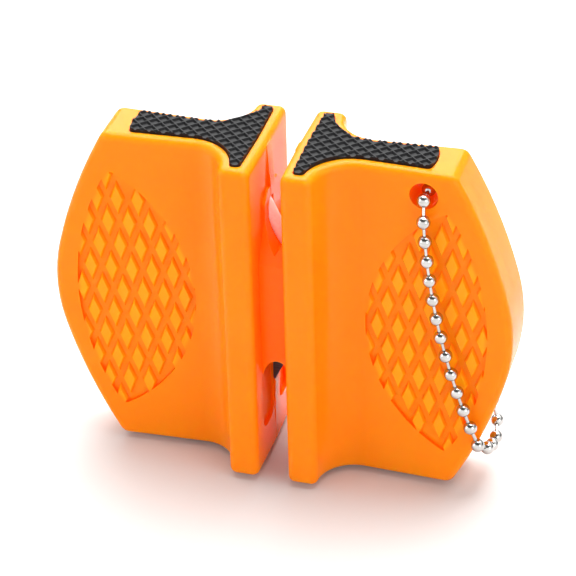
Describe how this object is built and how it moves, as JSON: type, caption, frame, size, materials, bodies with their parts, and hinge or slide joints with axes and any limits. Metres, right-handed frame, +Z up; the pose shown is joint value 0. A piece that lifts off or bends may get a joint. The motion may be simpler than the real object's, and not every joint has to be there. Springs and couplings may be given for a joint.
{
  "type": "pull through knife sharpener",
  "caption": "Hand held knife sharpener with crossed carbide plates and crossed ceramic rods in a guide slot, knurled grip pads and a ball chain.",
  "frame": {"origin": "middle of the surface it stands on, under the slot", "axes": "+X across the two wings towards the one with the chain, +Y along the blade's pull, +Z up"},
  "size_m": [0.06, 0.0178, 0.047],
  "materials": {
    "casing": "gloss",
    "grip": "satin",
    "ceramic": "fine ground, stands in for ceramic",
    "carbide": "ground dark carbide",
    "chain": "polished"
  },
  "bodies": {
    "casing": {"back_shell": "casing", "carbide_plate_back": "carbide", "carbide_plate_front": "carbide", "ceramic_rod_back": "ceramic", "ceramic_rod_front": "ceramic", "front_shell": "casing", "grip_pad_bottom_left": "grip", "grip_pad_bottom_right": "grip", "grip_pad_top_left": "grip", "grip_pad_top_right": "grip"},
    "chain_1": {"chain_1_beads_back": "chain", "chain_1_beads_front": "chain", "chain_1_beads_hole": "chain", "chain_1_links": "chain"},
    "chain_2": {"chain_2_beads_back": "chain", "chain_2_beads_front": "chain", "chain_2_links": "chain"},
    "chain_3": {"chain_3_beads_back": "chain", "chain_3_beads_front": "chain", "chain_3_links": "chain"},
    "chain_4": {"chain_4_beads_back": "chain", "chain_4_beads_front": "chain", "chain_4_links": "chain"},
    "chain_5": {"chain_5_beads_back": "chain", "chain_5_beads_front": "chain", "chain_5_beads_rim": "chain", "chain_5_links": "chain", "chain_connector": "chain"}
  },
  "joints": [
    {"name": "chain_swing", "type": "hinge", "parent": "casing", "child": "chain_1", "pos_m": [0.0186, 0, 0.0434], "axis": [0, -1, 0], "range_deg": [0, 150]},
    {"name": "chain_bend_1", "type": "hinge", "parent": "chain_1", "child": "chain_2", "pos_m": [0.01941, 0, 0.0352], "axis": [0, -1, 0], "range_deg": [0, 20]},
    {"name": "chain_bend_2", "type": "hinge", "parent": "chain_2", "child": "chain_3", "pos_m": [0.02018, 0, 0.02973], "axis": [0, -1, 0], "range_deg": [0, 20]},
    {"name": "chain_bend_3", "type": "hinge", "parent": "chain_3", "child": "chain_4", "pos_m": [0.02125, 0, 0.02432], "axis": [0, -1, 0], "range_deg": [0, 20]},
    {"name": "chain_bend_4", "type": "hinge", "parent": "chain_4", "child": "chain_5", "pos_m": [0.02262, 0, 0.01897], "axis": [0, -1, 0], "range_deg": [0, 20]}
  ]
}
